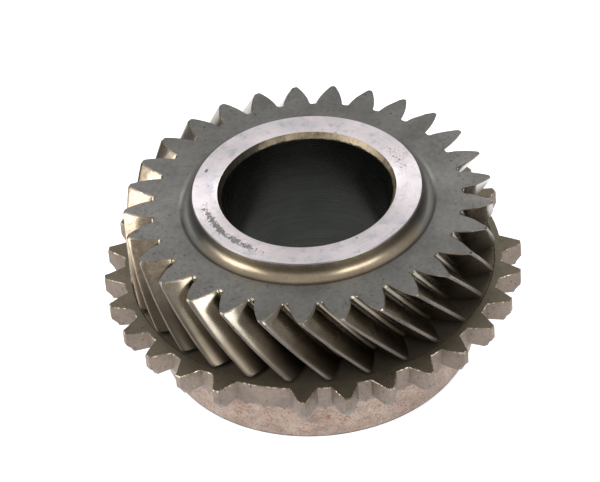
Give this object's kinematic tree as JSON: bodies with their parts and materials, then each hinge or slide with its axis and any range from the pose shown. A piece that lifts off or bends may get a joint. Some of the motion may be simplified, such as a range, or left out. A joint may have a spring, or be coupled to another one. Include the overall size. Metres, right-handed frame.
{
  "type": "helical gear",
  "caption": "Left-hand helical speed gear of a manual gearbox: plain-bored wheel with a ground thrust hub, and a pressed-on clutch body with pointed dog teeth and a synchroniser cone.",
  "frame": {"origin": "on the bore axis, in the plane of the lower thrust face and the cone's free end, which the part stands on", "axes": "+Z along the bore axis from the synchroniser cone to the raised thrust hub; +X through the middle of a dog tooth, 12 degrees clockwise of a missing one seen from +Z"},
  "size_m": [0.0914, 0.091, 0.0408],
  "materials": {
    "gear_steel": "hardened, dark satin skin with ground thrust hub and bore",
    "clutch_steel": "matt blasted steel with faint rust specks, dark upper face"
  },
  "bodies": {
    "root": {"gear_wheel": "gear_steel", "clutch_body": "clutch_steel"}
  },
  "joints": []
}
